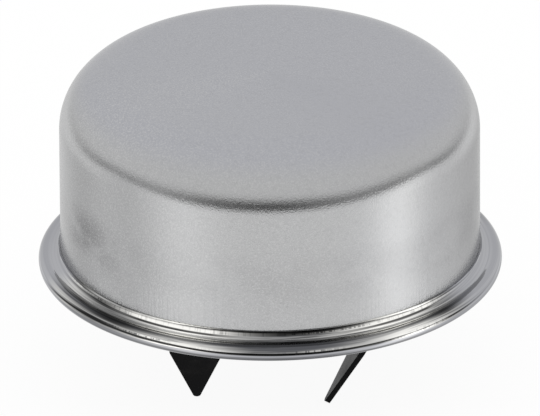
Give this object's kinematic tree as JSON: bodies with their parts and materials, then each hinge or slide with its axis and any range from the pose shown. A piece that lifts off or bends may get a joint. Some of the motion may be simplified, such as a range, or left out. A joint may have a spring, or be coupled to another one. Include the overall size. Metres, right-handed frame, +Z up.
{
  "type": "breather cap",
  "caption": "Push-in crankcase breather cap: a drawn, plated cover hemmed round a vented base plate, with a rubber seat gasket and a spring clip with pointed legs that grips a filler neck.",
  "frame": {"origin": "on the cap's axis, level with the tips of the clip's four legs, on which the cap stands", "axes": "+Z runs up the cap's axis from the leg tips to the cover's closed top; -Y is the side that the picture shows; +X is to the right in the picture"},
  "size_m": [0.0762, 0.0762, 0.0543],
  "materials": {
    "cap_cover": "bright plated, fine sandy grain",
    "base_plate": "zinc plated sheet",
    "gauze_disc": "woven wire",
    "filter_pad": "knitted wire",
    "seat_gasket": "matt black moulded",
    "spring_clip": "black phosphated spring steel, lightly oiled",
    "clip_rivet": "plated, set head",
    "rivet_washer": "plated"
  },
  "bodies": {
    "root": {"cap_cover": "cap_cover", "base_plate": "base_plate", "gauze_disc": "gauze_disc", "filter_pad": "filter_pad", "seat_gasket": "seat_gasket", "spring_clip": "spring_clip", "clip_rivet": "clip_rivet", "rivet_washer": "rivet_washer"}
  },
  "joints": []
}
